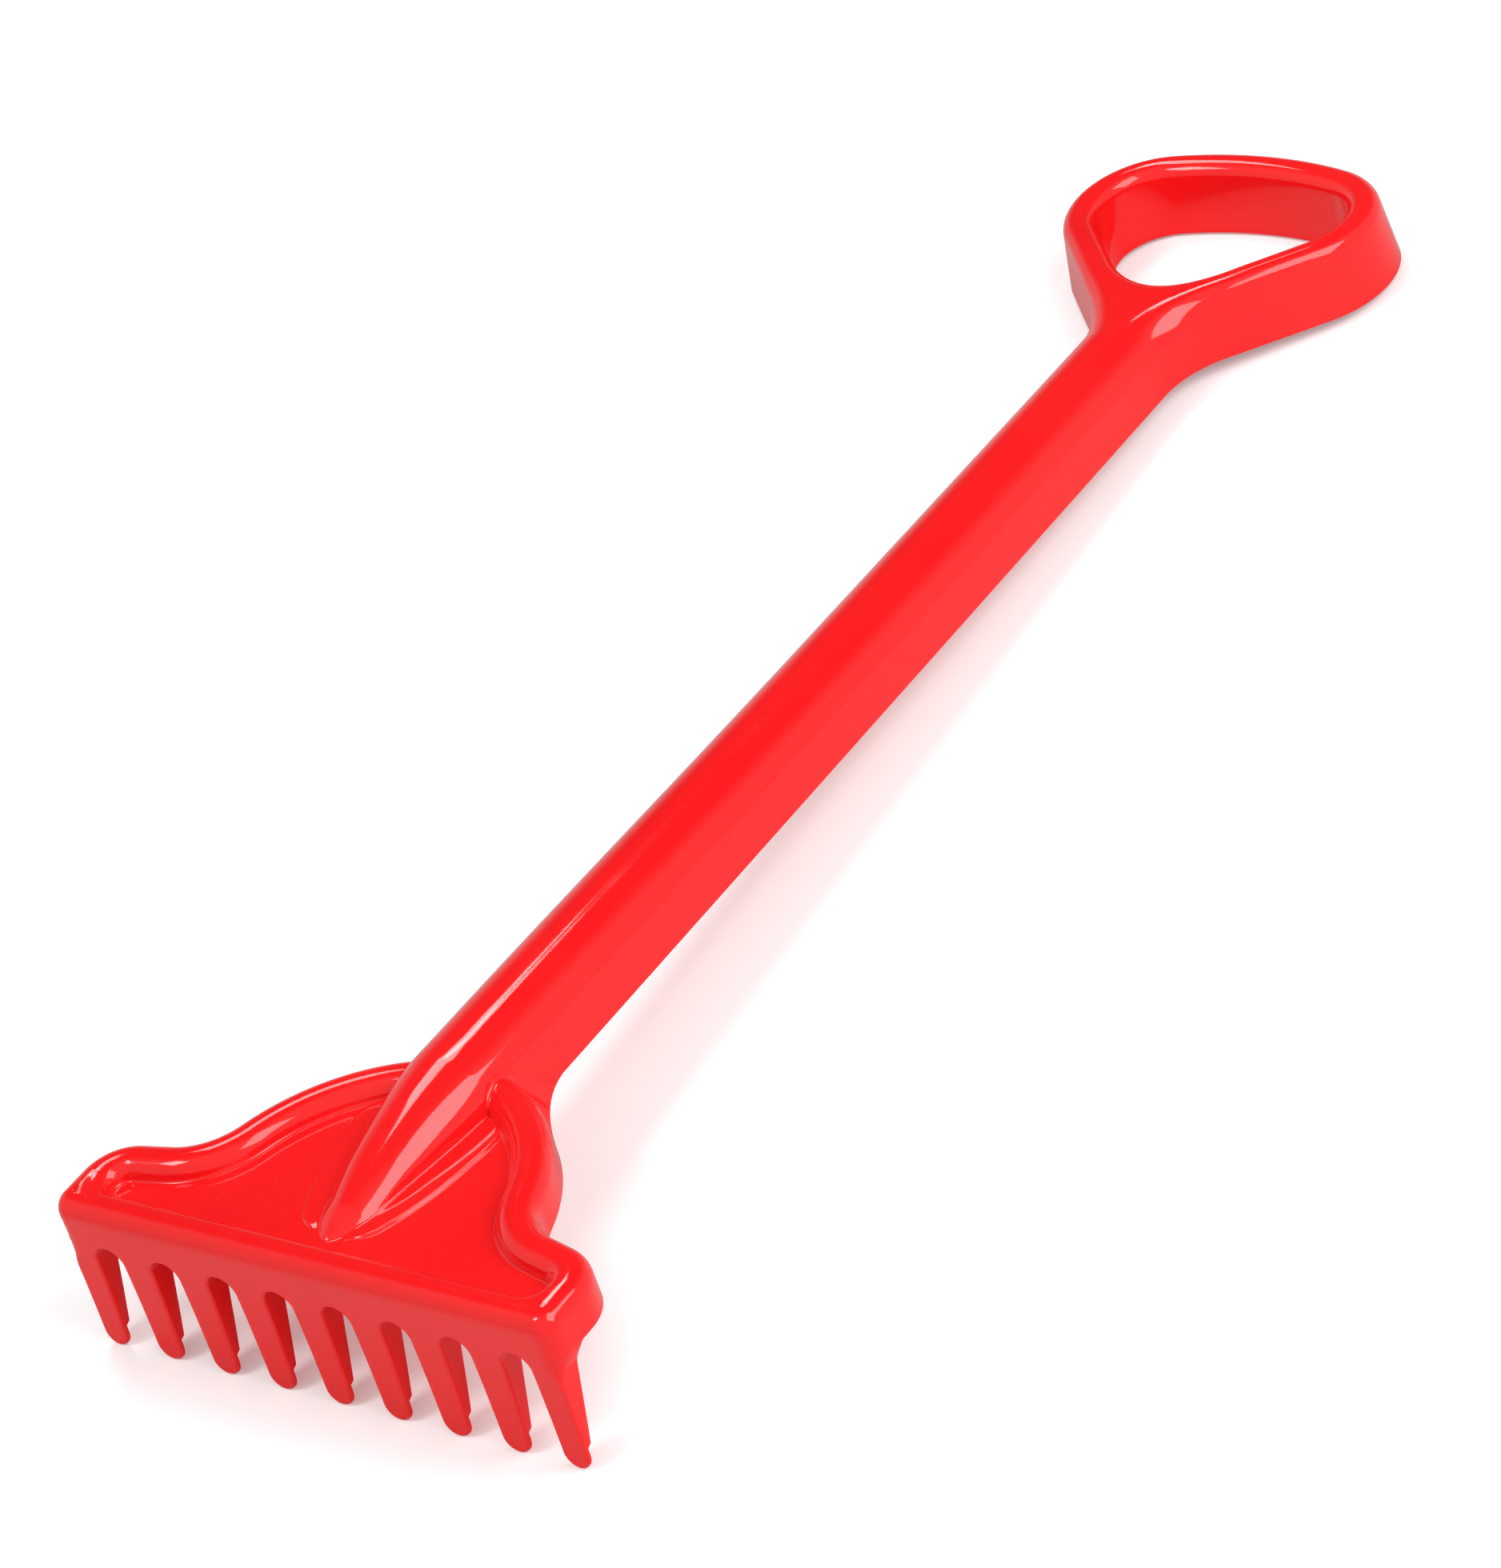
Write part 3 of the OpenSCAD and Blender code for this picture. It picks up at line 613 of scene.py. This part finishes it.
# in its hollow round a row also moves the way its surface faces
grow = np.concatenate([0 * turn_a, meet_r * (1 - np.cos(closing))])
plate_part, skirt_part = np.zeros(len(plate_rows)), np.zeros(SKIRT_ROWS)
facing_a = np.concatenate([plate_part, np.pi - rise_a, fall_a, skirt_part])
eased = np.concatenate([plate_part, smooth(rise_a / EASE_A), np.ones(len(fall_a)), skirt_part + 1])
push_x, push_z = np.cos(facing_a) * np.cos(meet_a), np.sin(facing_a)
push = grow * eased / np.hypot(push_x, push_z)
shoulder_grid = np.stack([shoulder_c[0] + row_r * np.cos(theta) + push * push_x,
                          shoulder_c[1] + row_r * np.sin(theta),
                          row_z + push * push_z], -1)
rim_grid = np.concatenate([rim_grid, shoulder_grid])
rim = make_piece("rim", both_sides(rim_grid))

# %% [markdown]
# ## The plate
# Between the nose's pads and the bead's foot the head is a flat plate. A plain
# rectangle under both would show beyond the waist, and cutting it to the outline
# would leave long thin triangles. So the plate is ruled from the one outline to
# the other, seen from a point under the nose.

# %% Plate
POLE = np.array([RIDGE_END, 0.0])
TUCK = 0.8  # how far the plate reaches under the pads
LEAST_REACH = 0.05  # the two outlines never meet
PLATE_STEPS = 8


def polar(p):
    """Angle and distance of plan points from the pole under the nose."""
    arm = p - POLE
    return np.arctan2(arm[:, 1], arm[:, 0]), np.linalg.norm(arm, axis=1)


pad_a, pad_r = polar(pad_xy[:, -1] - foot_out * TUCK)
rim_a, rim_r = polar(rim_grid[:, 0, :2])
order = np.argsort(pad_a)
in_r = np.interp(rim_a, pad_a[order], pad_r[order])
reach = np.maximum(rim_r, in_r + LEAST_REACH)
ruled_r = in_r[:, None] + (reach - in_r)[:, None] * np.linspace(0, 1, PLATE_STEPS + 1)
plate_xy = POLE + unit(np.degrees(rim_a))[:, None] * ruled_r[..., None]
plate_top = solid(plate_xy, DECK_H)
plate_low = solid(plate_xy, DECK_H - WALL)
inner_side, outer_side = (np.stack([plate_top[:, k], plate_low[:, k]]) for k in (0, -1))
end_side = np.stack([plate_top[-1], plate_low[-1]])
plate = make_piece("plate", both_sides(plate_top) + both_sides(plate_low, True) + both_sides(inner_side)
                   + both_sides(outer_side, True) + both_sides(end_side))

# %% [markdown]
# ## The front wall and its nine tines
# Below the bead the front wall splits into nine flat tines. Each slot between
# two of them has a round top, and a thin wall follows its edge to the back, so
# that from behind a tine is a small channel. The walls get lower down the tine
# and end in a step. Below it only a thin flat tip is left. Slots cut out of a
# block would lose the soft edges and the channel. So one half of a tine is
# worked out as a closed profile carried down its edge, and mirrored for the
# other half. The two end tines have an outer half of their own, which grows
# into the rounded corner and the side of the head.

# %% Depth and lean of a tine
PITCH = 18.0  # from the middle of one tine to the next
TINE_COUNT = 9
SLOT_R = 4.3  # radius of a slot's round top
SLOT_Z = -4.4  # height of its centre
TIP_HALF = 4.1  # half width of a tip, which is also its radius
STEP_Z = -25.8  # height of the step where the walls end
STEP_RUN = 0.7  # length of the rounded step
STEP_DEPTH = 2.6  # depth of the walls just above it
DEPTH_GAIN = 4.6  # what they gain up to the slot's centre
LEAN_POWER = 1.5  # 1 would be a straight slope, 2 a parabola


def tine_depth(z):
    """Depth of the walls behind the face: even taper from root to step, then the thin tip."""
    walls = STEP_DEPTH + DEPTH_GAIN * np.clip((z - STEP_Z) / (SLOT_Z - STEP_Z), 0, 1)
    return TIP_T + (walls - TIP_T) * smooth((z - STEP_Z) / STEP_RUN + 0.5)


def lean_out(z):
    """The tips stand a little forward of the face, more and more on the way down."""
    return -TIP_LEAN * (np.clip(SLOT_Z - z, 0, None) / (TINE_DROP + SLOT_Z)) ** LEAN_POWER


print("depth of a tine at slot and tip, mm:", tine_depth(SLOT_Z), tine_depth(-TINE_DROP))

# %% Outline of half a tine
ARC_STEPS = 12
TIP_Z = -TINE_DROP + TIP_HALF  # height of the tip's centre
INWARD = np.array([[-1.0, 0.0]])


def from_edge_in(degrees):
    """Directions from a round edge into the tine: 0 degrees is level, 90 degrees is up."""
    a = np.radians(degrees)
    return np.stack([-np.cos(a), np.sin(a)], -1)


slot_n = from_edge_in(np.linspace(90, 0, ARC_STEPS + 1))
slot_part = np.array([PITCH / 2, SLOT_Z]) + SLOT_R * slot_n
side_z = np.concatenate([np.linspace(SLOT_Z, STEP_Z + STEP_RUN, 13)[1:],
                         STEP_Z + np.array([0.45, 0.2, 0, -0.2, -0.45]),
                         np.linspace(STEP_Z - STEP_RUN, TIP_Z, 4)])
root_half = PITCH / 2 - SLOT_R
side_y = root_half + (TIP_HALF - root_half) * (SLOT_Z - side_z) / (SLOT_Z - TIP_Z)
side_part = np.stack([side_y, side_z], -1)
side_n = np.repeat(INWARD, len(side_z), 0)
tip_n = from_edge_in(np.linspace(0, 90, ARC_STEPS + 1)[1:])
tip_part = np.array([0, TIP_Z]) - TIP_HALF * tip_n
edge_p = np.concatenate([slot_part, side_part, tip_part])
edge_n = np.concatenate([slot_n, side_n, tip_n])
print("stations down a tine:", len(edge_p))

# %% Profile carried down the edge
FACE_COLUMNS = 9
EDGE_R = 0.8  # radius of the round between face and slot
TRIM = 0.3  # small bevel along a wall's rear edge
face_share = np.linspace(0, 1, FACE_COLUMNS)[None, :, None]
quarter = np.radians(np.linspace(0, 90, 7))[None, :]


def half_tine(path, normal, r, depth, face_z, back_z):
    """Loop of points per station: face, front round, side, rear edge, inner side, back; axis at 0."""
    lean = lean_out(path[:, 1])[:, None]
    back_x = np.where(path[:, 1] > STEP_Z, WALL, TIP_T)[:, None]
    r, depth = r[:, None], depth[:, None]
    inner_r = np.maximum(r - WALL, 0)
    trim = np.minimum(TRIM, (depth - r) / 2)
    front_x, front_in = r * (1 - np.cos(quarter)), r * (1 - np.sin(quarter))
    rear_x = np.concatenate([depth - trim, depth, depth, np.maximum(depth - trim, back_x)], 1)
    rear_in = np.concatenate([0 * trim, trim, WALL - trim, WALL + 0 * trim], 1)
    hollow_x = back_x + inner_r * (1 - np.sin(quarter))
    hollow_in = WALL + inner_r * (1 - np.cos(quarter))
    x = np.concatenate([front_x, rear_x, hollow_x], 1) + lean
    inward = np.concatenate([front_in, rear_in, hollow_in], 1)[..., None]
    around = np.concatenate([x[..., None], path[:, None] + normal[:, None] * inward], -1)
    face_axis = np.stack([lean[:, 0], 0 * face_z, face_z], -1)[:, None]
    back_axis = np.stack([(back_x + lean)[:, 0], 0 * back_z, back_z], -1)[:, None]
    face = face_axis + (around[:, :1] - face_axis) * face_share
    back = back_axis + (around[:, -1:] - back_axis) * face_share
    return np.concatenate([face[:, :-1], around, back[:, -2::-1]], 1)


edge_z = edge_p[:, 1]
face_z = edge_z + EDGE_R * edge_n[:, 1]
back_z = edge_z + WALL * edge_n[:, 1]
tine_half = half_tine(edge_p, edge_n, np.full(len(edge_z), EDGE_R), tine_depth(edge_z), face_z, back_z)


def strips(front, back):
    """The small grids that lead from the first station up to the cut under the bead."""
    front_top, back_top = (row * [1, 1, 0] + [0, 0, FACE_CUT] for row in (front, back))
    return [(np.stack([front_top, front]), False), (np.stack([back_top, back]), True),
            (np.stack([back_top, front_top]), False)]


tine_grids = [(tine_half, False)] + strips(tine_half[0, :FACE_COLUMNS], tine_half[0, :-FACE_COLUMNS - 1:-1])
print("profile points:", tine_half.shape[1])

# %% Outer half of an end tine
END_HALF = 3.6  # half width of an end tine on its outer side
END_WIDER = 1.2  # what it gains below the head's side
WIDER_Z = -5.0
WIDER_RUN = 4.7
LEDGE = 0.4  # small ledge right below the head's side
LEDGE_Z = -0.1
LEDGE_RUN = 0.12
ROUND_Z = -8.0  # from here the edge's radius grows to that of the head's corner
ROUND_RUN = 10.0
FLARE_SLOPE = 0.215  # the end wall's rear edge sweeps back: evenly above the slot's centre,
FLARE_END = 2.85  # and in a hollow curve close to the head
FLARE_RUN = 1.3
FLARE_CLEAR = 3.0  # it does so only from this much above the step
END_DEPTH = 11.0  # depth of the end wall at the head

above_tip = np.arange(len(edge_z)) < len(edge_z) - ARC_STEPS
end_z = np.append(FACE_CUT, np.where(above_tip, face_z, edge_z))
end_n = np.concatenate([INWARD, np.where(above_tip[:, None], INWARD, edge_n)])
end_y = (END_HALF + END_WIDER * smooth((end_z - WIDER_Z) / WIDER_RUN)
         + LEDGE * smooth((end_z - LEDGE_Z) / LEDGE_RUN + 0.5))
end_y = np.where(end_z < TIP_Z, -END_HALF * end_n[:, 0], end_y)
end_r = EDGE_R + (RIM_R - EDGE_R) * smooth((end_z - ROUND_Z) / ROUND_RUN)
end_r[0] = HEAD_HALF - (TINE_COUNT - 1) / 2 * PITCH
flare = (tine_depth(np.minimum(end_z, SLOT_Z)) + FLARE_SLOPE * np.clip(end_z - SLOT_Z, 0, None)
         + FLARE_END * np.exp(np.minimum(end_z, 0) / FLARE_RUN))
end_depth = np.where(end_z > STEP_Z + FLARE_CLEAR, flare, tine_depth(end_z))
end_depth = np.where(end_z > 0, END_DEPTH, end_depth)
end_half = half_tine(np.stack([end_y, end_z], -1), end_n, end_r, end_depth,
                     np.append(FACE_CUT, face_z), np.append(FACE_CUT, back_z))
half_loop = end_half.shape[1] // 2
end_cap = np.stack([end_half[0, :-half_loop - 1:-1], end_half[0, :half_loop]])
end_grids = [(end_half, False), (end_cap, False)]
print("end corner radius, mm:", round(float(end_r[0]), 2), "to", round(float(end_r[-1]), 2))

# %% One mesh for the front wall and the tines
COMB_SHARP = 50.0  # degrees

comb_grids = []
for k in range(TINE_COUNT):
    middle = np.array([0, (k - (TINE_COUNT - 1) / 2) * PITCH, 0])
    for hand, last in ((1, TINE_COUNT - 1), (-1, 0)):
        grids = end_grids if k == last else tine_grids
        comb_grids += [(grid * [1, hand, 1] + middle, turned != (hand > 0)) for grid, turned in grids]
comb = make_piece("front_wall_and_tines", comb_grids, COMB_SHARP)
weighted = comb.modifiers.new("even_faces", "WEIGHTED_NORMAL")
weighted.keep_sharp = True

# %% [markdown]
# ## A wall of even thickness
# The real moulding is a thin shell, open underneath. Handle and rim are sheets
# so far. Their inside could be worked out as a second set of grids, but
# Solidify does the same for any sheet: it gives them the moulding's wall
# towards the inside, so the outside keeps its size and the underside shows the
# hollow.

# %% Wall thickness
for sheet in (handle, rim):
    wall = sheet.modifiers.new("wall", "SOLIDIFY")
    wall.thickness = WALL * MM
    wall.offset = -1
    thick = bpy.data.meshes.new_from_object(sheet.evaluated_get(bpy.context.evaluated_depsgraph_get()))
    sheet.modifiers.clear()
    sheet.data = thick
    thick.name = sheet.name
    thick.set_sharp_from_angle(angle=np.radians(SHARP))
    print(sheet.name, "with its wall:", len(thick.polygons), "faces")

# %% [markdown]
# ## Glossy red plastic
# The plastic is dyed right through, so the colour hardly changes. What tells it
# from paint is the surface: nearly a mirror, with slow waves where the walls
# shrank in the mould, fine marks of handling that blur the gloss in streaks, and
# a few dust specks. A painted picture could hold all this, but it would need
# every piece unwrapped. Noise on Object coordinates doesn't, and the pattern
# runs on from piece to piece.


# %% Node helpers
def fill(tree, socket, value):
    """Gives an input a plain value, or links another node's output to it."""
    if isinstance(value, bpy.types.NodeSocket):
        tree.links.new(value, socket)
    else:
        socket.default_value = value


def new_node(tree, kind, sockets, **settings):
    """A node of a kind with its settings, and with a value or a link for each input that is named."""
    node = tree.nodes.new(kind)
    for setting, choice in settings.items():
        setattr(node, setting, choice)
    for socket, value in sockets.items():
        fill(tree, node.inputs[socket], value)
    return node


def spread_out(tree, value, low, high, to_low, to_high, **settings):
    """Stretches the part of a value between low and high over a new range."""
    sockets = {"Value": value, "From Min": low, "From Max": high, "To Min": to_low, "To Max": to_high}
    return new_node(tree, "ShaderNodeMapRange", sockets, **settings).outputs["Result"]


# %% Red plastic
DEEP_RED = (0.80, 0.006, 0.008, 1)
LIGHT_RED = (0.87, 0.010, 0.011, 1)
WAVE_DEPTH = 0.00018  # metres, of the slow waves in the walls
SKIN_DEPTH = 0.000004  # metres, of the fine skin and the specks

plastic = bpy.data.materials.new("gloss_red_plastic")
plastic.use_nodes = True
plastic.diffuse_color = (0.83, 0.02, 0.02, 1)
red = plastic.node_tree
shader = red.nodes["Principled BSDF"]
place = new_node(red, "ShaderNodeTexCoord", {}).outputs["Object"]


def noise(scale, detail, stretch=(1, 1, 1)):
    """A noise over the object in its own metres, stretched along an axis if wanted."""
    mapped = new_node(red, "ShaderNodeMapping", {"Vector": place, "Scale": stretch})
    sockets = {"Vector": mapped.outputs["Vector"], "Scale": scale, "Detail": detail}
    return new_node(red, "ShaderNodeTexNoise", sockets).outputs["Fac"]


def add(first, second):
    """The sum of two values."""
    return new_node(red, "ShaderNodeMath", {0: first, 1: second}, operation="ADD").outputs["Value"]


tone = spread_out(red, noise(scale=14, detail=3), 0.35, 0.65, to_low=0, to_high=1)
tint = new_node(red, "ShaderNodeMix", {"A": DEEP_RED, "B": LIGHT_RED, "Factor": tone}, data_type="RGBA")
cloudy = spread_out(red, noise(scale=22, detail=4), 0.35, 0.7, to_low=0.055, to_high=0.11)
lengthwise = noise(scale=160, detail=3, stretch=(0.12, 1, 1))
streaks = spread_out(red, lengthwise, 0.58, 0.75, to_low=0, to_high=0.09)
specks = spread_out(red, noise(scale=1500, detail=1), 0.74, 0.80, to_low=0, to_high=0.30)
wave = new_node(red, "ShaderNodeBump",
                {"Strength": 1.0, "Distance": WAVE_DEPTH, "Height": noise(scale=38, detail=1)})
skin = new_node(red, "ShaderNodeBump",
                {"Strength": 1.0, "Distance": SKIN_DEPTH, "Height": add(noise(scale=900, detail=2), specks),
                 "Normal": wave.outputs["Normal"]})
finish = {"IOR": 1.49, "Base Color": tint.outputs["Result"], "Roughness": add(add(cloudy, streaks), specks),
          "Normal": skin.outputs["Normal"]}
for socket, value in finish.items():
    fill(red, shader.inputs[socket], value)
print("nodes in the plastic:", len(red.nodes))

# %% Pieces take their places
stands_for = {
    handle: ["grip_far_bar", "grip_corner_left", "grip_corner_right", "grip_side_left",
             "grip_side_right", "grip_neck", "shaft", "nose"],
    plate: ["head_plate"],
    rim: ["front_bead"] + [f"rim_{part}_{hand}" for part in ("ear", "flank", "waist", "shoulder")
                           for hand in ("left", "right")],
    comb: ["front_wall", "end_wall_left", "end_wall_right"] + [f"tine_{k + 1}" for k in range(TINE_COUNT)]}
for piece, names in stands_for.items():
    piece.data.materials.append(plastic)
    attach(piece, "root")
    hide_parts(*names)
print("engineering parts stood for:", sum(map(len, stands_for.values())))

# %% [markdown]
# ## Floor, light and camera
# A plain white floor keeps the picture calm. To the camera it glows a little,
# and more with the distance, so that it stays white where the lamps don't
# reach. To mirror rays it is half grey, or the upright walls would mirror it
# and lose their red. The room is white as well, but for one dim part of the
# ceiling behind the rake, which keeps the red of the tops full. A picture of a
# real studio could light the rake too, but it would bring shapes of its own.
# Soft lamps of plain shape draw the crisp highlights along the bead and the
# nose.

# %% Floor
FLOOR_HALF = 6.0  # metres
FLOOR_WHITE = (0.92, 0.92, 0.92, 1)
FLOOR_MIRRORED = (0.50, 0.50, 0.50, 1)

corners = [(-1, -1), (1, -1), (1, 1), (-1, 1)]
floor_mesh = bpy.data.meshes.new("floor")
floor_mesh.from_pydata([(FLOOR_HALF * x, FLOOR_HALF * y, 0) for x, y in corners], [], [(0, 1, 2, 3)])
floor = bpy.data.objects.new("floor", floor_mesh)
bpy.context.scene.collection.objects.link(floor)
pale = bpy.data.materials.new("pale_floor")
pale.use_nodes = True
floor_tree = pale.node_tree
ray = new_node(floor_tree, "ShaderNodeLightPath", {})
muted = new_node(floor_tree, "ShaderNodeMix", {"A": FLOOR_WHITE, "B": FLOOR_MIRRORED,
                                               "Factor": ray.outputs["Is Glossy Ray"]}, data_type="RGBA")
floor_place = new_node(floor_tree, "ShaderNodeTexCoord", {}).outputs["Object"]
far_off = new_node(floor_tree, "ShaderNodeVectorMath", {0: floor_place}, operation="LENGTH").outputs["Value"]
fade = spread_out(floor_tree, far_off, 0.40, 1.6, to_low=0.21, to_high=0.55)
glow = new_node(floor_tree, "ShaderNodeMath", {0: fade, 1: ray.outputs["Is Camera Ray"]},
                operation="MULTIPLY")
floor_finish = {"Roughness": 0.8, "Base Color": muted.outputs["Result"], "Emission Color": (1, 1, 1, 1),
                "Emission Strength": glow.outputs["Value"]}
for socket, value in floor_finish.items():
    fill(floor_tree, floor_tree.nodes["Principled BSDF"].inputs[socket], value)
floor_mesh.materials.append(pale)
print("floor, m:", 2 * FLOOR_HALF, "square")

# %% World
DIM_TOWARD = (0.62, 0.30, 0.72)  # from the rake towards the dim part of the ceiling

world = bpy.data.worlds.new("studio")
bpy.context.scene.world = world
world.use_nodes = True
sky = world.node_tree
direction = new_node(sky, "ShaderNodeTexCoord", {}).outputs["Generated"]
toward = new_node(sky, "ShaderNodeVectorMath", {0: direction, 1: DIM_TOWARD}, operation="DOT_PRODUCT")
dim = spread_out(sky, toward.outputs["Value"], 0.50, 0.84, to_low=0.65, to_high=0.09,
                 interpolation_type="SMOOTHSTEP")
seen = new_node(sky, "ShaderNodeLightPath", {}).outputs["Is Camera Ray"]
pick = new_node(sky, "ShaderNodeMix", {"Factor": seen, "A": dim, "B": 1.0}, data_type="FLOAT")
fill(sky, sky.nodes["Background"].inputs["Strength"], pick.outputs["Result"])
fill(sky, sky.nodes["Background"].inputs["Color"], (1, 1, 1, 1))
print("world nodes:", len(sky.nodes))


# %% Lamps
def soft_lamp(name, place_at, aim, width, length, power, roll=0.0):
    """A rectangular lamp at a place, turned to face another place and rolled by some degrees."""
    lamp = bpy.data.lights.new(name, "AREA")
    lamp.shape = "RECTANGLE"
    lamp.size = width
    lamp.size_y = length
    lamp.energy = power
    holder = bpy.data.objects.new(name, lamp)
    holder.matrix_world = (Matrix.Translation(place_at)
                           @ (Vector(place_at) - Vector(aim)).to_track_quat("Z", "Y").to_matrix().to_4x4()
                           @ Matrix.Rotation(np.radians(roll), 4, "Z"))
    bpy.context.scene.collection.objects.link(holder)
    print(name, power, "W")


soft_lamp("side_box", place_at=(0.012, -0.817, 0.775), aim=(-0.263, -0.025, 0.06),
          width=0.74, length=0.74, power=8.4, roll=22.8)
soft_lamp("far_strip", place_at=(0.685, 0.72, 1.585), aim=(-0.18, -0.01, 0.045),
          width=0.75, length=0.56, power=9.6, roll=16.0)
soft_lamp("grip_strip", place_at=(1.15, 0.75, 1.85), aim=(0.1, 0.0, 0.03),
          width=0.60, length=0.18, power=2.6)
soft_lamp("left_box", place_at=(-0.95, 0.62, 1.70), aim=(0.0, 0.0, 0.03),
          width=0.50, length=0.50, power=8.0)

# %% Camera
# place and directions are fitted to the view in the photograph
CAMERA_AT = (-0.81852, -0.83430, 0.85520)
RIGHT_WAY = Vector((0.522236, -0.795104, -0.308348))
LOOK = Vector((0.551818, 0.590705, -0.588697))
LENS = 134.33  # millimetres, on a sensor 36 mm wide

camera_data = bpy.data.cameras.new("camera")
camera_data.lens = LENS
camera_data.sensor_width = 36
camera_data.sensor_fit = "HORIZONTAL"
camera_data.clip_end = 30
camera = bpy.data.objects.new("camera", camera_data)
axes = Matrix((RIGHT_WAY, RIGHT_WAY.cross(LOOK), -LOOK)).transposed()
camera.matrix_world = Matrix.Translation(CAMERA_AT) @ axes.to_4x4()
bpy.context.scene.collection.objects.link(camera)
bpy.context.scene.camera = camera
bpy.context.scene.view_settings.view_transform = "Standard"
print("camera from the origin, m:", round(Vector(CAMERA_AT).length, 2))

# %% Scene brought up to date
bpy.context.view_layer.update()
